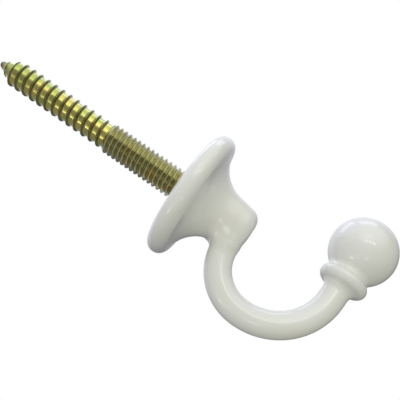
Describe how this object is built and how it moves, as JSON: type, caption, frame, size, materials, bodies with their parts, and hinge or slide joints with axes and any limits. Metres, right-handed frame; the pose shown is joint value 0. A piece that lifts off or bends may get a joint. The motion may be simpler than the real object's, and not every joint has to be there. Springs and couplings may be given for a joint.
{
  "type": "curtain tieback hook",
  "caption": "Cast J-shaped hook with a round trumpet flange, a bead and a ball end, screwed onto a hanger bolt with machine and wood threads, to hold a curtain tieback on a wall.",
  "frame": {"origin": "centre of the flange's flat back face, on the axis of the hanger bolt", "axes": "+X points straight out of the wall, with the bolt lying along -X; +Z is the way the hook opens; Y runs across the hook's middle plane"},
  "size_m": [0.0817, 0.0248, 0.031],
  "materials": {
    "enamel": "gloss white enamel",
    "chromate": "yellow passivated zinc plate"
  },
  "bodies": {
    "root": {"hook_casting": "enamel", "hanger_bolt": "chromate"}
  },
  "joints": []
}
